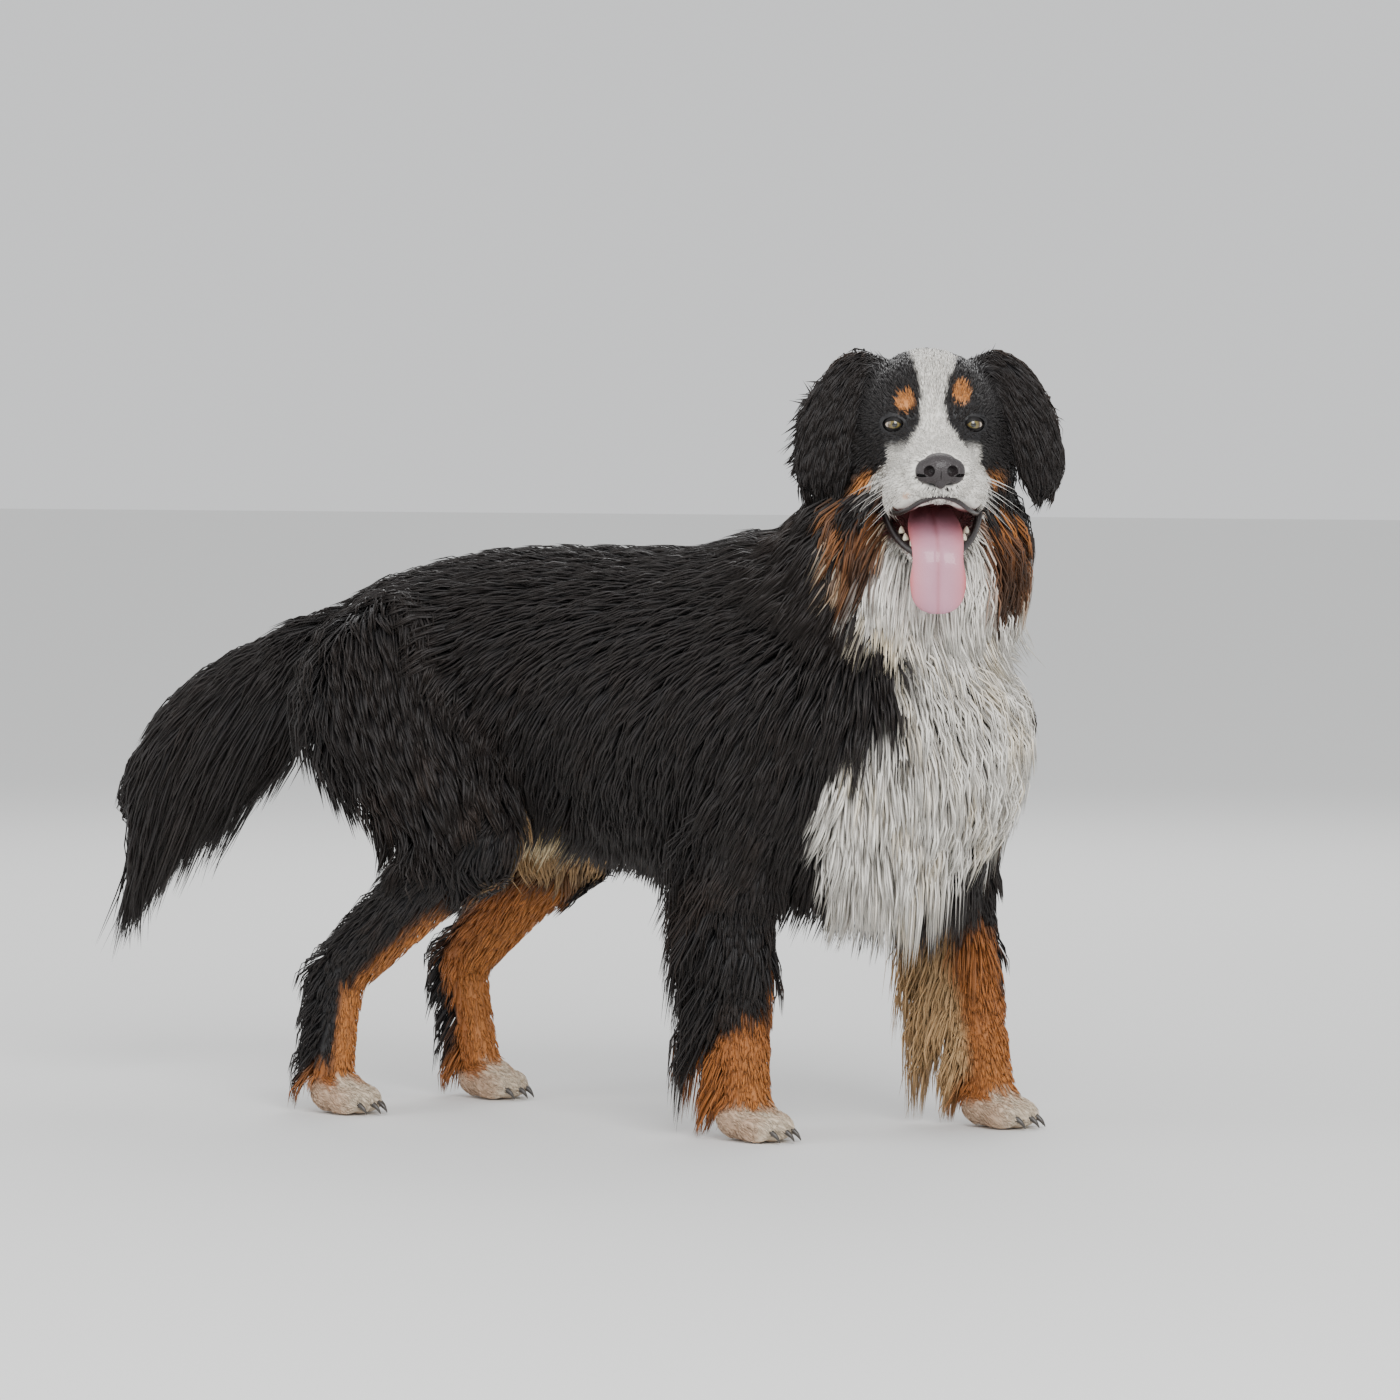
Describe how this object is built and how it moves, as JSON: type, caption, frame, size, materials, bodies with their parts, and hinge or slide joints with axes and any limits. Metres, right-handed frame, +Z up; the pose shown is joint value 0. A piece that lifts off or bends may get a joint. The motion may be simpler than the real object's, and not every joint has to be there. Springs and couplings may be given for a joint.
{
  "type": "bernese mountain dog",
  "caption": "Long-coated tricolour mountain dog standing square, head turned to its right, mouth open and tongue out.",
  "frame": {"origin": "on the floor, under the middle of the dog's bounding box", "axes": "+X towards the dog's front, +Y to its left, +Z up"},
  "size_m": [1.2407, 0.3969, 0.8875],
  "materials": {
    "coat_black": "long, soft, slightly waved black hair with a satin sheen",
    "coat_white": "long, soft white hair, creamy where it is shaded",
    "coat_rust": "short to medium rust-brown hair",
    "nose": "moist, pebbled dark leather",
    "tongue": "wet, fine-grained lilac-pink",
    "lips": "wet black-brown skin",
    "tooth": "glossy ivory enamel",
    "eye": "wet amber-brown iris with a black pupil",
    "claw": "dark horn with a dull gloss"
  },
  "bodies": {
    "root": {"head": "coat_black", "lower_jaw": "coat_white", "tongue": "tongue", "nose": "nose", "eye_left": "eye", "eye_right": "eye", "ear_left": "coat_black", "ear_right": "coat_black", "neck": "coat_black", "torso": "coat_black", "arm_left": "coat_black", "arm_right": "coat_black", "foreleg_left": "coat_black", "foreleg_right": "coat_black", "thigh_left": "coat_black", "thigh_right": "coat_black", "shank_left": "coat_black", "shank_right": "coat_black", "hock_left": "coat_black", "hock_right": "coat_black", "paw_fore_left": "coat_rust", "paw_fore_right": "coat_rust", "paw_hind_left": "coat_rust", "paw_hind_right": "coat_rust", "tail_base": "coat_black", "tail_tip": "coat_black"}
  },
  "joints": []
}
